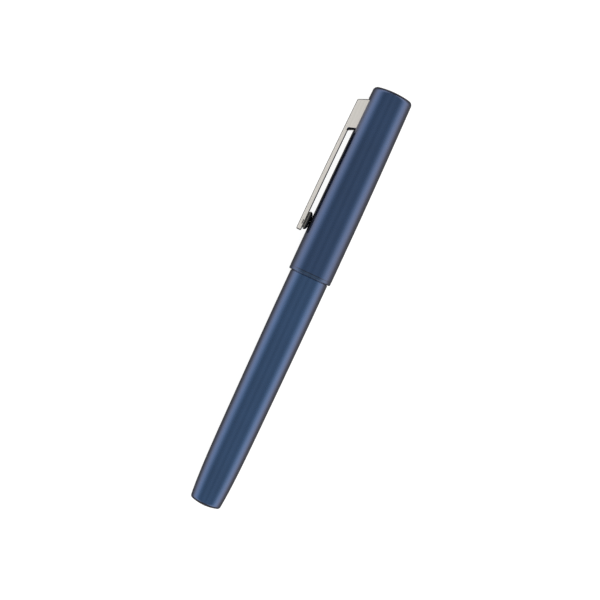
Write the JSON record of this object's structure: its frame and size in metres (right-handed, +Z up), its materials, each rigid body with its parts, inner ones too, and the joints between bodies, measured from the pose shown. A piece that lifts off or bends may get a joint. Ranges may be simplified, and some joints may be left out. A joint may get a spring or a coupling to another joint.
{
  "type": "rollerball pen",
  "caption": "Capped rollerball pen: satin anodised barrel and push-on cap with a sprung steel clip, and a screw-in grip section holding a replaceable refill.",
  "frame": {"origin": "centre of the capped pen's footprint, on the surface it lies on", "axes": "+X along the pen's axis towards the barrel's tail, so the cap's closed end is at -X; +Z up; the clip is on the -Y side, dipping to touch the surface beside the cap"},
  "size_m": [0.142, 0.0172, 0.0141],
  "materials": {
    "blue_anodised": "satin bead-blasted, dark blue anodised",
    "satin_steel": "satin, lightly brushed",
    "bright_steel": "drawn spring wire",
    "brass": "turned",
    "black_plastic": "moulded, fine texture",
    "black_gloss": "polished",
    "grey_plastic": "moulded",
    "white_plastic": "moulded",
    "black_rubber": "soft moulded",
    "ink_fibre": "ink-soaked fibre",
    "refill_metal": "drawn tube",
    "carbide": "polished ball"
  },
  "bodies": {
    "barrel": {"barrel_shell": "blue_anodised", "thread_insert": "brass", "tail_plug": "black_plastic", "refill_spring": "bright_steel"},
    "o_ring": {"thread_o_ring": "black_rubber"},
    "section": {"section_core": "black_plastic", "trim_ring": "satin_steel", "grip_shell": "blue_anodised", "nose_cone": "satin_steel"},
    "refill": {"refill_end_plug": "white_plastic", "refill_tube": "refill_metal", "ink_reservoir": "ink_fibre", "refill_nose": "black_gloss", "ink_feed": "ink_fibre", "tip_sleeve": "satin_steel"},
    "ball": {"writing_ball": "carbide"},
    "snap_ring": {"snap_ring": "bright_steel"},
    "cap": {"cap_shell": "blue_anodised", "inner_cap": "grey_plastic", "clip_carrier": "black_plastic", "tip_seal": "black_rubber", "clip_spring": "bright_steel"},
    "clip": {"clip": "satin_steel", "clip_glide": "black_gloss", "clip_pin": "bright_steel"}
  },
  "joints": [
    {"name": "section_travel", "type": "slide", "parent": "barrel", "child": "o_ring", "axis": [-1, 0, 0], "range_m": [0, 0.007]},
    {"name": "section_turn", "type": "hinge", "parent": "o_ring", "child": "section", "pos_m": [-0.01, 0.00154, 0.00704], "axis": [-1, 0, 0], "range_deg": [0, 2521]},
    {"name": "refill_float", "type": "slide", "parent": "section", "child": "refill", "axis": [1, 0, 0], "range_m": [0, 0.0015], "stiffness_N_per_m": 600, "springref_m": -0.005, "deforming": ["refill_spring"]},
    {"name": "ball_roll", "type": "hinge", "parent": "refill", "child": "ball", "pos_m": [-0.0615, 0.00154, 0.00704], "axis": [0, 1, 0], "continuous": true},
    {"name": "cap_pull", "type": "slide", "parent": "section", "child": "snap_ring", "axis": [-1, 0, 0], "range_m": [0, 0.06], "deforming": ["snap_ring"]},
    {"name": "cap_turn", "type": "hinge", "parent": "snap_ring", "child": "cap", "pos_m": [-0.039, 0.00154, 0.00704], "axis": [-1, 0, 0], "continuous": true},
    {"name": "clip_swing", "type": "hinge", "parent": "cap", "child": "clip", "pos_m": [-0.0632, -0.00252, 0.00488], "axis": [0, 0.4695, -0.8829], "range_deg": [0, 5], "stiffness_Nm_per_rad": 0.07, "springref_deg": -28.65, "deforming": ["clip_spring"]}
  ],
  "couplings": [
    {"joint": "section_turn", "follows": "section_travel", "rad_per_m": 6283.2}
  ]
}
